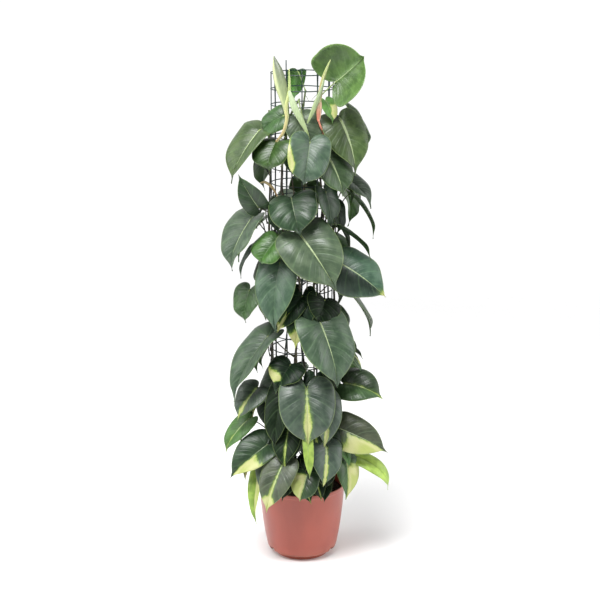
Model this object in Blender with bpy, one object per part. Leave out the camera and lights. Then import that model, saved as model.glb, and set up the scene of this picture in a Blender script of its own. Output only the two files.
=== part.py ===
"""A potted heart-leaf philodendron on a rolled wire-mesh column, in metres, +Z up.

The origin is the centre of the pot's underside, and the front of the plant faces -Y. Places on the plant
are given about the pot's axis: a heading in degrees, 0 at the front (-Y) and 90 at +X, a radius in
millimetres and a height in millimetres.
"""

from math import atan2, cos, degrees, hypot, pi, radians, sin

import bmesh
import bpy
from mathutils import Vector

MM = 0.001
GAP = 0.3  # millimetres left between pieces that meet

# Pot
POT_HEIGHT = 180.0
POT_WALL = 1.6
FOOT_RADIUS = 65.0
FOOT_HEIGHT = 12.0
FLOOR_THICKNESS = 2.0
WALL_OUTSIDE = ((78.0, 13.0), (84.0, 19.0), (89.0, 43.0), (95.0, 80.0), (101.0, 134.0), (103.6, 170.0))
RIM_RADIUS = 105.5
RIM_BAND = 9.0
POT_SIDES = 40
NOTCH_COUNT = 3
NOTCH_SIZE = (20.0, 20.0, 15.0)
NOTCH_PLACE = (80.0, 15.5)

# Soil
SOIL_TOP = 158.0
SOIL_CROWN = 4.0
GROOVE_BOTTOM = 110.0
GROOVE_CLEAR = 1.4
POCKET_CLEAR = 1.6
POCKET_DEPTH = 60.0

# Wire column
COLUMN_RADIUS = 71.0
COLUMN_TOP = 1167.0
WIRE = 2.2
UPRIGHTS = 12
RINGS = 28
RING_SPACING = 36.0
PRONG_BOTTOM = 120.0

# Vines: each is a list of (heading, height), and it climbs the outside of the column
VINE_RADIUS_FROM_AXIS = 78.0
VINE_THICKNESS = 7.0
VINES = (
    ((-30, 146), (-20, 300), (-14, 480), (-4, 680), (-22, 820), (-36, 930), (-24, 1060), (-4, 1116)),
    ((36, 146), (46, 300), (34, 480), (20, 680), (36, 860), (28, 980), (24, 1090), (28, 1130)),
    ((102, 146), (112, 320), (96, 520), (108, 760), (100, 950), (106, 1090)),
    ((176, 146), (166, 340), (184, 560), (172, 790), (182, 980), (174, 1120)),
    ((-106, 146), (-96, 320), (-114, 540), (-98, 760), (-110, 950), (-102, 1080)),
)
VINE_STEPS = 22
VINE_SAMPLES = 60
VINE_TAPER = 0.35  # the share of its thickness that a vine loses towards the top

# Leaves: the blade's base at the petiole and its tip, each as (heading, radius, height), then the blade's
# width, its roll about the midrib, the angle that each half is folded up by, and how far below the base the
# petiole starts
LEAVES = (
    ((42, 110, 1160), (46, 180, 1195), 156, -120, -20, 40),
    ((-63, 108, 1042), (-67, 180, 926), 112, 24, 10, 45),
    ((-150, 96, 1060), (-142, 132, 1000), 76, 0, 8, 45),
    ((-32, 104, 1020), (-32, 142, 955), 96, 0, 8, 45),
    ((-4, 92, 1072), (18, 104, 990), 88, 0, 8, 45),
    ((8, 124, 1020), (1, 156, 935), 84, 0, 8, -90),
    ((30, 118, 994), (39, 160, 903), 98, 0, 8, 45),
    ((51, 114, 1073), (52, 160, 948), 110, -15, 8, 45),
    ((78, 110, 925), (78, 166, 862), 84, -15, 12, 60),
    ((95, 116, 885), (95, 176, 783), 54, 8, 15, 45),
    ((-51, 119, 868), (-56, 168, 946), 60, -42, 15, 30),
    ((-74, 122, 836), (-73, 180, 720), 122, 28, 8, 45),
    ((-34, 106, 796), (-43, 148, 738), 84, 0, 8, 44),
    ((-15, 92, 893), (-2, 132, 816), 112, 0, 8, 45),
    ((-1, 108, 810), (28, 168, 693), 136, 0, 6, 32),
    ((54, 98, 817), (69, 168, 739), 66, 40, 15, 40),
    ((54, 116, 735), (67, 210, 661), 116, -22, 8, 45),
    ((-30, 107, 745), (-28, 142, 588), 108, 0, 8, 45),
    ((-84, 124, 661), (-78, 140, 586), 88, 35, 8, 45),
    ((-52, 102, 562), (-63, 188, 412), 106, 12, 8, 45),
    ((22, 112, 606), (31, 166, 462), 136, 0, 6, 45),
    ((64, 112, 443), (69, 204, 414), 98, -25, 8, 45),
    ((5, 118, 450), (5, 156, 323), 132, 0, 6, 45),
    ((27, 122, 425), (21, 150, 315), 78, 0, 8, 45),
    ((-61, 122, 435), (-60, 178, 366), 80, 25, 8, 45),
    ((-72, 136, 350), (-72, 196, 276), 62, 22, 8, 45),
    ((-25, 102, 445), (-27, 148, 306), 70, 0, 8, 62),
    ((-46, 116, 300), (-60, 200, 225), 98, 20, 8, 45),
    ((26, 130, 313), (18, 164, 224), 80, 0, 8, 45),
    ((51, 112, 339), (66, 224, 286), 92, -22, 8, 45),
    ((53, 132, 263), (43, 154, 174), 66, -15, 8, 45),
    ((-19, 142, 270), (-28, 184, 162), 84, 0, 8, 45),
)

# Leaves round the back: one rule, with each leaf lower than the last and turned on within the back sector
BACK_LEAVES = 16
BACK_START = 102
BACK_SECTOR = 160
BACK_TURN = 61
BACK_TOP = 1085
BACK_STEP = 54
BACK_LENGTHS = (112, 126, 104, 134, 118)
VARIEGATED = (*range(20, 33), *range(45, 49))  # the numbers of the leaves with cream and yellow areas

# Petioles
PETIOLE = 3.2
PETIOLE_SWELL = 1.25  # how much wider it is at the vine
PETIOLE_RINGS = 5
PETIOLE_ARCH = 6.0  # how far it first stands off the vine
PETIOLE_BEND = 14.0  # the length of the bend where it meets the blade

# Blades: half a heart's margin as two curves of (along, across) on a blade of length 1, then the divisions
LOBE = ((0, 0), (-0.34, 0.04), (-0.30, 0.50), (0.12, 0.47))
FLANK = ((0.12, 0.47), (0.52, 0.47), (0.70, 0.16), (1, 0))
LOBE_SHARE = 0.38
MARGIN_WIDTH = 0.94  # the width of the whole heart that those curves make
OUTLINE_STOPS = (0.045, 0.15, 0.27, 0.38, 0.54, 0.7, 0.86, 1)
CROSS_STOPS = (0, 0.5, 1)
BLADE_THICKNESS = 1.1
MIDRIB_THICKNESS = 1.6
BOW = 0.07  # how far the blade bows along its length, as a share of it
CUP = 0.05  # how far the margins bend back, as a share of the width


def clear_scene():
    for thing in list(bpy.data.objects):
        bpy.data.objects.remove(thing)


def at(heading, radius, height):
    """The point at a heading in degrees, and a radius and a height in millimetres."""
    angle = radians(heading)
    return Vector((radius * sin(angle), -radius * cos(angle), height)) * MM


def material(name, colour, roughness):
    made = bpy.data.materials.new(name)
    made.use_nodes = True
    shader = made.node_tree.nodes["Principled BSDF"]
    shader.inputs["Base Color"].default_value = (*colour, 1)
    shader.inputs["Roughness"].default_value = roughness
    shader.inputs["Metallic"].default_value = 0
    return made


def add_object(name, data, finish):
    thing = bpy.data.objects.new(name, data)
    data.materials.append(finish)
    bpy.context.scene.collection.objects.link(thing)
    return thing


def closed_mesh(name, points, faces):
    """A mesh of these faces, turned to point outwards."""
    mesh = bpy.data.meshes.new(name)
    mesh.from_pydata(points, [], faces)
    shape = bmesh.new()
    shape.from_mesh(mesh)
    bmesh.ops.recalc_face_normals(shape, faces=shape.faces)
    shape.to_mesh(mesh)
    shape.free()
    return mesh


def smooth(thing, angle=35):
    thing.data.shade_smooth()
    thing.data.set_sharp_from_angle(angle=radians(angle))


def turned(name, profile, sides, finish):
    """A solid of revolution from a profile of (radius, height) that starts and ends on the axis."""
    points = [Vector((0, 0, profile[0][1])) * MM, Vector((0, 0, profile[-1][1])) * MM]
    rings = profile[1:-1]
    for radius, height in rings:
        for step in range(sides):
            points.append(at(360 * step / sides, radius, height))
    faces = []
    for step in range(sides):
        after = (step + 1) % sides
        faces.append((0, 2 + step, 2 + after))
        last = 2 + (len(rings) - 1) * sides
        faces.append((1, last + after, last + step))
        for ring in range(len(rings) - 1):
            low = 2 + ring * sides
            high = low + sides
            faces.append((low + step, high + step, high + after, low + after))
    thing = add_object(name, closed_mesh(name, points, faces), finish)
    smooth(thing)
    return thing


def cutter(name, mesh, place, heading=0):
    thing = bpy.data.objects.new(name, mesh)
    bpy.context.scene.collection.objects.link(thing)
    thing.location = place
    thing.rotation_euler = (0, 0, radians(heading))
    thing.hide_render = True
    thing.display_type = "WIRE"
    return thing


def cut(thing, tool):
    modifier = thing.modifiers.new(tool.name, "BOOLEAN")
    modifier.operation = "DIFFERENCE"
    modifier.object = tool


def box_mesh(name, size):
    half = [value / 2 * MM for value in size]
    points = []
    for x in (-half[0], half[0]):
        for y in (-half[1], half[1]):
            for z in (-half[2], half[2]):
                points.append((x, y, z))
    faces = ((0, 1, 3, 2), (4, 6, 7, 5), (0, 4, 5, 1), (2, 3, 7, 6), (0, 2, 6, 4), (1, 5, 7, 3))
    return closed_mesh(name, points, faces)


def make_pot(finish):
    outside = [(0, 0), (FOOT_RADIUS, 0), (FOOT_RADIUS + 1, FOOT_HEIGHT), *WALL_OUTSIDE]
    rim = [(RIM_RADIUS, POT_HEIGHT - RIM_BAND), (RIM_RADIUS, POT_HEIGHT), (RIM_RADIUS - 3, POT_HEIGHT)]
    inside = [(radius - POT_WALL, height + 0.6) for radius, height in reversed(WALL_OUTSIDE)]
    floor = [(FOOT_RADIUS - 1, FOOT_HEIGHT + 2), (FOOT_RADIUS - 2, FLOOR_THICKNESS), (0, FLOOR_THICKNESS)]
    pot = turned("pot", outside + rim + inside + floor, POT_SIDES, finish)
    mesh = box_mesh("notch_tool", NOTCH_SIZE)
    for number in range(NOTCH_COUNT):
        heading = 360 * (number + 0.5) / NOTCH_COUNT
        cut(pot, cutter(f"notch_tool_{number + 1}", mesh, at(heading, *NOTCH_PLACE), heading))


def make_soil(finish):
    """Potting mix that fills the pot, with the slot in it that the mesh column stands in."""
    groove_in = COLUMN_RADIUS - WIRE / 2 - GROOVE_CLEAR
    groove_out = COLUMN_RADIUS + WIRE / 2 + GROOVE_CLEAR
    inner_wall = [(radius - POT_WALL - 0.6, height + 2) for radius, height in WALL_OUTSIDE[:-1]]
    profile = [(0, FLOOR_THICKNESS + GAP), (FOOT_RADIUS - 3, FLOOR_THICKNESS + GAP)]
    profile += [(FOOT_RADIUS - 2, FOOT_HEIGHT + 3), *inner_wall]
    profile += [(WALL_OUTSIDE[-1][0] - POT_WALL - 1.6, SOIL_TOP)]
    profile += [(groove_out, SOIL_TOP), (groove_out, GROOVE_BOTTOM), (groove_in, GROOVE_BOTTOM)]
    crown = SOIL_TOP + SOIL_CROWN
    profile += [(groove_in, SOIL_TOP + 1), (groove_in * 0.5, crown), (0, crown)]
    soil = turned("soil", profile, POT_SIDES, finish)
    pocket_radius = VINE_THICKNESS / 2 + POCKET_CLEAR
    mesh = pocket_mesh("vine_pocket_tool", pocket_radius, POCKET_DEPTH)
    for number, route in enumerate(VINES):
        heading = route[0][0]
        place = at(heading, VINE_RADIUS_FROM_AXIS, route[0][1] + POCKET_DEPTH / 2 - 1)
        cut(soil, cutter(f"vine_pocket_tool_{number + 1}", mesh, place, heading))


def pocket_mesh(name, radius, length, sides=10):
    points = []
    for height in (-length / 2, length / 2):
        for step in range(sides):
            points.append(at(360 * step / sides, radius, height))
    faces = [tuple(range(sides)), tuple(range(sides, 2 * sides))]
    for step in range(sides):
        after = (step + 1) % sides
        faces.append((step, after, sides + after, sides + step))
    return closed_mesh(name, points, faces)


def make_wire_column(finish):
    """Square mesh as one body: a small block at every crossing, joined by the wires between them."""
    points = []
    faces = []
    half = WIRE / 2
    turn = 360 / UPRIGHTS
    half_turn = degrees(half / COLUMN_RADIUS)
    heights = [COLUMN_TOP - RING_SPACING * ring for ring in range(RINGS)]
    corner = {}

    def add_block(upright, level, low, high):
        for side in (-1, 1):
            for depth in (-1, 1):
                for end, height in ((-1, low), (1, high)):
                    corner[upright, level, side, depth, end] = len(points)
                    place = at(turn * upright + side * half_turn, COLUMN_RADIUS + depth * half, height)
                    points.append(place)

    def tube(ring_a, ring_b):
        for index in range(4):
            after = (index + 1) % 4
            faces.append((ring_a[index], ring_a[after], ring_b[after], ring_b[index]))

    for upright in range(UPRIGHTS):
        for level, height in enumerate(heights):
            add_block(upright, level, height - half, height + half)
        add_block(upright, RINGS, PRONG_BOTTOM, PRONG_BOTTOM + WIRE)

    square = ((-1, -1), (1, -1), (1, 1), (-1, 1))
    for upright in range(UPRIGHTS):
        after = (upright + 1) % UPRIGHTS
        for level in range(RINGS + 1):
            ends = ((-1, 1), (1, 1), (1, -1), (-1, -1))
            for depth in (-1, 1):
                faces.append([corner[upright, level, side, depth, end] for side, end in ends])
            top = [corner[upright, level, side, depth, 1] for side, depth in square]
            bottom = [corner[upright, level, side, depth, -1] for side, depth in square]
            if level == 0:
                faces.append(top)
            else:
                above = [corner[upright, level - 1, side, depth, -1] for side, depth in square]
                tube(top, above)
            if level == RINGS:
                faces.append(bottom)
                for side in (-1, 1):
                    faces.append([corner[upright, level, side, depth, end] for depth, end in square])
                continue
            right = [corner[upright, level, 1, depth, end] for depth, end in square]
            left = [corner[after, level, -1, depth, end] for depth, end in square]
            tube(right, left)
    add_object("wire_column", closed_mesh("wire_column", points, faces), finish)


def blend(keys, amount):
    """A point on the smooth curve through these points, with amount from 0 to 1 along it."""
    spans = len(keys) - 1
    span = min(int(amount * spans), spans - 1)
    t = amount * spans - span
    before = keys[max(span - 1, 0)]
    start = keys[span]
    end = keys[span + 1]
    after = keys[min(span + 2, spans)]
    found = []
    for a, b, c, d in zip(before, start, end, after):
        linear = (c - a) / 2
        square = a - 2.5 * b + 2 * c - d / 2
        cube = 1.5 * (b - c) + (d - a) / 2
        found.append(b + linear * t + square * t**2 + cube * t**3)
    return found


def vine_heading(route, height):
    """The heading of a vine at this height, or at its nearest end."""
    steps = [blend(route, step / VINE_SAMPLES) for step in range(VINE_SAMPLES + 1)]
    return min(steps, key=lambda place: abs(place[1] - height))[0]


def make_vine(number, route, finish):
    curve = bpy.data.curves.new(f"vine_{number}", "CURVE")
    curve.dimensions = "3D"
    curve.bevel_depth = VINE_THICKNESS / 2 * MM
    curve.bevel_resolution = 1
    curve.use_fill_caps = True
    spline = curve.splines.new("POLY")
    spline.points.add(VINE_STEPS)
    for step in range(VINE_STEPS + 1):
        amount = step / VINE_STEPS
        heading, height = blend(route, amount)
        spline.points[step].co = (*at(heading, VINE_RADIUS_FROM_AXIS, height), 1)
        spline.points[step].radius = 1 - VINE_TAPER * amount
    add_object(f"vine_{number}", curve, finish)


def bezier(corners, t):
    a, b, c, d = corners
    s = 1 - t
    parts = zip(a, b, c, d)
    return [s**3 * i + 3 * s * s * t * j + 3 * s * t * t * k + t**3 * m for i, j, k, m in parts]


def outline(share):
    """The margin of half a heart-shaped blade of length 1, as (along, across), from the sinus to the tip."""
    if share <= LOBE_SHARE:
        return bezier(LOBE, share / LOBE_SHARE)
    return bezier(FLANK, (share - LOBE_SHARE) / (1 - LOBE_SHARE))


def vein_start(share):
    """How far along the midrib the side vein starts that ends at this share of the margin."""
    return max(0, (share - LOBE_SHARE + 0.08) / (1.08 - LOBE_SHARE)) ** 1.1


def make_leaf(number, base, tip, width, roll, fold, drop, finish):
    start = at(*base)
    reach = at(*tip) - start
    length = reach.length
    along = reach.normalized()
    outward = at((base[0] + tip[0]) / 2, 1, 0.35).normalized()
    outward = (outward - along * outward.dot(along)).normalized()
    across = outward.cross(along)
    turn = radians(roll)
    normal = outward * cos(turn) + across * sin(turn)
    across = normal.cross(along)
    wide = width * MM / MARGIN_WIDTH
    lift = radians(fold)

    def blade_point(u, w, side, offset):
        bow = BOW * length * (4 * u * (1 - u) if u > 0 else 1.5 * u)
        cup = w * wide * sin(lift) - CUP * wide * (2 * w) ** 2
        flat = start + along * (u * length) + across * (side * w * wide * cos(lift))
        return flat + normal * (bow + cup + offset)

    points = []
    index = {}

    def vertex(key, place):
        if key not in index:
            index[key] = len(points)
            points.append(place)
        return index[key]

    last = len(OUTLINE_STOPS) - 1

    def corner(face, side, row, column):
        share = OUTLINE_STOPS[row]
        stem = vein_start(share)
        if row == last:
            return vertex("tip", blade_point(1, 0, side, 0))
        if column == 0:
            depth = (MIDRIB_THICKNESS - BLADE_THICKNESS * stem) * MM
            return vertex(("mid", face, round(stem, 4)), blade_point(stem, 0, side, face * depth))
        out = CROSS_STOPS[column]
        edge = outline(share)
        u = stem + (edge[0] - stem) * out
        w = edge[1] * out
        if row == 0 or out == 1:
            return vertex(("edge", side, row, column), blade_point(u, w, side, 0))
        place = blade_point(u, w, side, face * BLADE_THICKNESS / 2 * MM)
        return vertex(("face", face, side, row, column), place)

    faces = []
    for side in (-1, 1):
        for face in (-1, 1):
            for row in range(last):
                for column in range(len(CROSS_STOPS) - 1):
                    loop = [corner(face, side, row, column), corner(face, side, row, column + 1)]
                    loop += [corner(face, side, row + 1, column + 1), corner(face, side, row + 1, column)]
                    loop = list(dict.fromkeys(loop))
                    if len(loop) > 2:
                        faces.append(loop)
    collar = [corner(1, -1, 0, 1), corner(1, 1, 0, 0), corner(1, 1, 0, 1), corner(-1, 1, 0, 0)]
    route = petiole_route(base, start, along, normal, drop)
    ring = collar
    side_way = across
    for step in range(1, PETIOLE_RINGS + 1):
        centre, heading = route[step]
        side_way = (side_way - heading * side_way.dot(heading)).normalized()
        up_way = heading.cross(side_way)
        radius = PETIOLE / 2 * (1 + (PETIOLE_SWELL - 1) * step / PETIOLE_RINGS) * MM
        ways = (-side_way, up_way, side_way, -up_way)
        fresh = []
        for way in ways:
            fresh.append(len(points))
            points.append(centre + way * radius)
        for corner_number in range(4):
            after = (corner_number + 1) % 4
            faces.append((ring[corner_number], ring[after], fresh[after], fresh[corner_number]))
        ring = fresh
    faces.append(ring)
    name = f"leaf_{number:02d}"
    leaf = add_object(name, closed_mesh(name, [tuple(point) for point in points], faces), finish)
    smooth(leaf)


def petiole_route(base, start, along, normal, drop):
    """Centres and directions of the petiole, from the blade's base back to the vine nearest to it."""
    node_height = base[2] - drop
    headings = [vine_heading(route, node_height) for route in VINES]
    nearest = min(headings, key=lambda heading: abs((heading - base[0] + 180) % 360 - 180))
    if abs(nearest - base[0]) > 180:
        nearest += 360 if base[0] > nearest else -360
    vine_skin = VINE_RADIUS_FROM_AXIS + VINE_THICKNESS / 2 + PETIOLE * PETIOLE_SWELL / 2 + GAP
    arrive = (along + normal * 0.9).normalized()
    bend = start - arrive * PETIOLE_BEND * MM
    bend_radius = max(hypot(bend.x, bend.y) / MM, vine_skin)
    bend_heading = degrees(atan2(bend.x, -bend.y))
    if abs(bend_heading - base[0]) > 180:
        bend_heading += 360 if base[0] > bend_heading else -360
    arch = vine_skin + PETIOLE_ARCH + 0.15 * max(0, -drop)
    leave = (nearest + (base[0] - nearest) * 0.35, arch, node_height + drop * 0.3)
    keys = ((nearest, vine_skin, node_height), leave, (bend_heading, bend_radius, bend.z / MM), base)
    route = [(start, arrive)]
    for step in range(1, PETIOLE_RINGS + 1):
        t = 1 - step / PETIOLE_RINGS
        if step == 1:
            t = 0.93
        here = at(*bezier(keys, t))
        ahead = at(*bezier(keys, min(t + 0.02, 1)))
        behind = at(*bezier(keys, max(t - 0.02, 0)))
        route.append((here, (ahead - behind).normalized()))
    return route


def back_leaf(number):
    """The back leaves hang like shingles: each tip stands further out than the base of the leaf below it."""
    heading = BACK_START + (number * BACK_TURN) % BACK_SECTOR
    length = BACK_LENGTHS[number % len(BACK_LENGTHS)]
    height = BACK_TOP - BACK_STEP * number
    spread = 0.42 + 0.1 * sin(number * 1.7)
    base_radius = 105 + 6 * cos(number * 2.3)
    tip_radius = base_radius + length * spread
    tip_height = height - length * (1 - spread * spread) ** 0.5
    base = (heading, base_radius, height)
    tip = (heading + 6 * sin(number * 2.9), tip_radius, tip_height)
    return base, tip, length * 0.84, 12 * sin(number * 1.3), 8, 45


def tapered_roll(name, route, widths, sides, finish, flatten=0.6):
    """A thin closed piece along a route of (heading, radius, height), with a width at each point."""
    points = []
    faces = []
    places = [at(*place) for place in route]
    for step, (place, width) in enumerate(zip(places, widths)):
        ahead = places[min(step + 1, len(places) - 1)]
        behind = places[max(step - 1, 0)]
        along = (ahead - behind).normalized()
        outward = Vector((place.x, place.y, 0)).normalized()
        across = along.cross(outward).normalized()
        outward = across.cross(along)
        for side in range(sides):
            angle = 2 * pi * side / sides
            round_way = across * cos(angle) + outward * sin(angle) * flatten
            points.append(place + round_way * width / 2 * MM)
    faces.append(list(range(sides)))
    faces.append([len(points) - sides + side for side in range(sides)])
    for step in range(len(places) - 1):
        for side in range(sides):
            after = (side + 1) % sides
            low = step * sides
            faces.append((low + side, low + after, low + sides + after, low + sides + side))
    thing = add_object(name, closed_mesh(name, [tuple(point) for point in points], faces), finish)
    smooth(thing, 60)


def build():
    clear_scene()
    terracotta = material("terracotta_plastic", (0.48, 0.127, 0.093), 0.42)
    potting_mix = material("potting_mix", (0.03, 0.018, 0.012), 0.95)
    green_coating = material("green_coating", (0.02, 0.09, 0.06), 0.4)
    vine_bark = material("vine_bark", (0.035, 0.03, 0.016), 0.6)
    leaf_green = material("leaf_green", (0.07, 0.15, 0.06), 0.38)
    leaf_variegated = material("leaf_variegated", (0.24, 0.32, 0.1), 0.4)
    new_green = material("new_growth", (0.45, 0.55, 0.25), 0.45)
    sheath_pink = material("sheath_pink", (0.65, 0.36, 0.24), 0.5)
    sheath_dry = material("sheath_dry", (0.5, 0.4, 0.22), 0.8)
    make_pot(terracotta)
    make_soil(potting_mix)
    make_wire_column(green_coating)
    for number, route in enumerate(VINES, 1):
        make_vine(number, route, vine_bark)
    rows = list(LEAVES) + [back_leaf(number) for number in range(BACK_LEAVES)]
    for number, (base, tip, width, roll, fold, drop) in enumerate(rows, 1):
        finish = leaf_variegated if number in VARIEGATED else leaf_green
        make_leaf(number, base, tip, width, roll, fold, drop, finish)
    spear = ((-22, 88, 1062), (-26, 90, 1100), (-34, 90, 1140), (-40, 88, 1175), (-46, 87, 1208))
    tapered_roll("rolled_leaf_left", spear, (8, 15, 19, 15, 2), 8, new_green)
    bud = ((20, 105, 1068), (20.5, 105, 1086), (20.5, 106, 1104), (20, 107, 1121))
    tapered_roll("bud_sheath", bud, (9, 20, 17, 9), 8, sheath_pink)
    stalk = ((20.3, 107.3, 1122.5), (23, 110, 1150), (26, 117, 1178), (29.5, 126, 1204))
    tapered_roll("rolled_leaf_right", stalk, (8, 8, 7, 2.5), 8, new_green)
    dry = ((-38, 90, 893), (-44, 97, 915), (-52, 105, 926), (-58, 112, 924))
    tapered_roll("dry_sheath", dry, (5, 9, 9, 3), 6, sheath_dry, 0.3)


build()
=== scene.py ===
"""A variegated heart-leaf philodendron on a mesh column, in its nursery pot: the finish of every piece."""

import random
from math import atan2, cos, degrees, hypot, pi, radians, sin

import bmesh
import bpy
import numpy as np
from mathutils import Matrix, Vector, noise


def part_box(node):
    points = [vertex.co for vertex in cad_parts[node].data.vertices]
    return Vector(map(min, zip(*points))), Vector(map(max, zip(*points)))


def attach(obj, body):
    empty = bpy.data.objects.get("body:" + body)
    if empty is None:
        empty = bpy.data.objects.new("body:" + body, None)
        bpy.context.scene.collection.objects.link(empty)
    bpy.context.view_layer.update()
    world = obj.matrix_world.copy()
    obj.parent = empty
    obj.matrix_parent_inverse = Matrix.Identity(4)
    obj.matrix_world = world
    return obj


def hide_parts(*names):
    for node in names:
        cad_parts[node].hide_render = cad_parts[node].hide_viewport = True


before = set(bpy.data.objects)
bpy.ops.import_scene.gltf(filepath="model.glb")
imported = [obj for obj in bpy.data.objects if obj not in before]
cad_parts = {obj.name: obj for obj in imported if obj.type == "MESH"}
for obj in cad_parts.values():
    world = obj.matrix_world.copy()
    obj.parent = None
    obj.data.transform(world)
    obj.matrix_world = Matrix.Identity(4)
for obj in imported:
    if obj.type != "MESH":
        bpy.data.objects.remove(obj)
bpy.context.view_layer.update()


# --------------------------------------------------------------------------------------------------
# Nursery pot. One thin injection-moulded shell of terracotta-coloured polypropylene, with a rolled
# band at its rim, a round foot to stand on, and three wide drainage slots moulded through the step
# from the wall to the foot.
# --------------------------------------------------------------------------------------------------
MM = 0.001
POT_SIDES = 144
WALL = 1.6
FOOT_RADIUS = 65
FOOT_HEIGHT = 12
FOOT_ROUND = 1.5
WALL_OUTSIDE = ((78, 13), (84, 19), (89, 43), (95, 80), (101, 134), (103.6, 169))
WALL_STEPS = 28
RIM_BAND = 9
SLOT_COUNT = 3
SLOT_SIZE = (20, 20, 15)
SLOT_RADIUS = 80
SLOT_HEIGHT = 15.5

pot_low, pot_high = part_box("pot")
pot_height = (pot_high.z - pot_low.z) / MM
rim_radius = (pot_high.x - pot_low.x) / 2 / MM


def at(heading, radius, height):
    """A point from a heading in degrees (0 is the front), and a radius and a height in millimetres."""
    angle = radians(heading)
    return Vector((radius * sin(angle), -radius * cos(angle), height)) * MM


def through(keys, amount):
    """A place on the smooth curve through these keys, with amount from 0 to 1 along it."""
    spans = len(keys) - 1
    span = min(int(amount * spans), spans - 1)
    t = amount * spans - span
    before = keys[max(span - 1, 0)]
    after = keys[min(span + 2, spans)]
    found = []
    for a, b, c, d in zip(before, keys[span], keys[span + 1], after):
        linear = (c - a) / 2
        square = a - 2.5 * b + 2 * c - d / 2
        cube = 1.5 * (b - c) + (d - a) / 2
        found.append(b + linear * t + square * t**2 + cube * t**3)
    return found


def arc(centre, radius, start, end, steps=6):
    """Points of (radius, height) round an arc of a profile, with angles in degrees."""
    angles = [radians(start + (end - start) * step / steps) for step in range(steps + 1)]
    return [(centre[0] + radius * cos(angle), centre[1] + radius * sin(angle)) for angle in angles]


def new_object(name, mesh, finish):
    mesh.materials.append(finish)
    thing = bpy.data.objects.new(name, mesh)
    bpy.context.scene.collection.objects.link(thing)
    return thing


def closed_mesh(name, points, faces):
    """A mesh of these faces, smooth and turned to point outwards."""
    mesh = bpy.data.meshes.new(name)
    mesh.from_pydata(points, [], faces)
    shape = bmesh.new()
    shape.from_mesh(mesh)
    bmesh.ops.recalc_face_normals(shape, faces=shape.faces)
    shape.to_mesh(mesh)
    shape.free()
    mesh.shade_smooth()
    return mesh


def turned(name, profile, sides):
    """A solid of revolution from a profile of (radius, height) that starts and ends on the axis."""
    points = [at(0, 0, profile[0][1]), at(0, 0, profile[-1][1])]
    rings = profile[1:-1]
    for radius, height in rings:
        points += [at(360 * step / sides, radius, height) for step in range(sides)]
    faces = []
    last = 2 + (len(rings) - 1) * sides
    for step in range(sides):
        after = (step + 1) % sides
        faces.append((0, 2 + step, 2 + after))
        faces.append((1, last + after, last + step))
        for ring in range(len(rings) - 1):
            low = 2 + ring * sides
            high = low + sides
            faces.append((low + step, high + step, high + after, low + after))
    return closed_mesh(name, points, faces)


def add_node(tree, kind, settings=(), **inputs):
    """A shader node with its settings, and its inputs set to a value or linked from a socket."""
    node = tree.nodes.new("ShaderNode" + kind)
    for key, value in dict(settings).items():
        setattr(node, key, value)
    for key, value in inputs.items():
        name = key.replace("_", " ")
        socket = node.inputs[int(name[1:])] if name[1:].isdigit() else node.inputs[name]
        if isinstance(value, bpy.types.NodeSocket):
            tree.links.new(value, socket)
        else:
            socket.default_value = value
    return node


def new_group(name, inputs, outputs):
    """A shader node group with float inputs of (name, value) and outputs of (name, socket type)."""
    group = bpy.data.node_groups.new(name, "ShaderNodeTree")
    for label, value in inputs:
        socket = group.interface.new_socket(label, in_out="INPUT", socket_type="NodeSocketFloat")
        socket.default_value = value
    for label, kind in outputs:
        group.interface.new_socket(label, in_out="OUTPUT", socket_type=kind)
    return group, group.nodes.new("NodeGroupInput").outputs, group.nodes.new("NodeGroupOutput").inputs


# Cloudy patches and fine grain, from the place on the object, used in every material
patches, given, made = new_group(
    "patches_and_grain",
    (("Patch Scale", 20), ("Grain Scale", 400), ("Stretch", 1)),
    (("Patch", "NodeSocketFloat"), ("Grain", "NodeSocketFloat")),
)
place = add_node(patches, "TexCoord").outputs["Object"]
squeeze = add_node(patches, "CombineXYZ", X=1.0, Y=1.0, Z=given["Stretch"])
stretched = add_node(patches, "VectorMath", {"operation": "MULTIPLY"}, _0=place, _1=squeeze.outputs[0])
for label, detail in (("Patch", 3.0), ("Grain", 2.0)):
    scale = given[label + " Scale"]
    cloud = add_node(patches, "TexNoise", Vector=stretched.outputs[0], Scale=scale, Detail=detail)
    patches.links.new(cloud.outputs["Fac"], made[label])


def new_material(name, patch_scale, grain_scale, stretch=1.0):
    """A material with the patches group in it: its tree, its shader, and the patch and grain masks."""
    material = bpy.data.materials.new(name)
    material.use_nodes = True
    tree = material.node_tree
    group = add_node(tree, "Group", {"node_tree": patches})
    group.inputs["Patch Scale"].default_value = patch_scale
    group.inputs["Grain Scale"].default_value = grain_scale
    group.inputs["Stretch"].default_value = stretch
    shader = tree.nodes["Principled BSDF"]
    return material, tree, shader, group.outputs["Patch"], group.outputs["Grain"]


def ramp(tree, value, low, high, start=0.0, end=1.0):
    """The value moved smoothly from the range low..high to start..end."""
    settings = {"interpolation_type": "SMOOTHSTEP"}
    node = add_node(tree, "MapRange", settings, Value=value)
    for label, number in (("From Min", low), ("From Max", high), ("To Min", start), ("To Max", end)):
        node.inputs[label].default_value = number
    return node.outputs["Result"]


def mix(tree, amount, first, second, blend="MIX"):
    """One colour blended into another by a mask."""
    node = add_node(tree, "Mix", {"data_type": "RGBA", "blend_type": blend})
    for socket, value in ((node.inputs[0], amount), (node.inputs[6], first), (node.inputs[7], second)):
        if isinstance(value, bpy.types.NodeSocket):
            tree.links.new(value, socket)
        else:
            socket.default_value = value if isinstance(value, (int, float)) else (*value, 1)
    return node.outputs[2]


def maths(tree, operation, *values):
    """The result of one sum on these numbers or sockets."""
    inputs = {f"_{place}": value for place, value in enumerate(values)}
    return add_node(tree, "Math", {"operation": operation}, **inputs).outputs[0]


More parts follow.
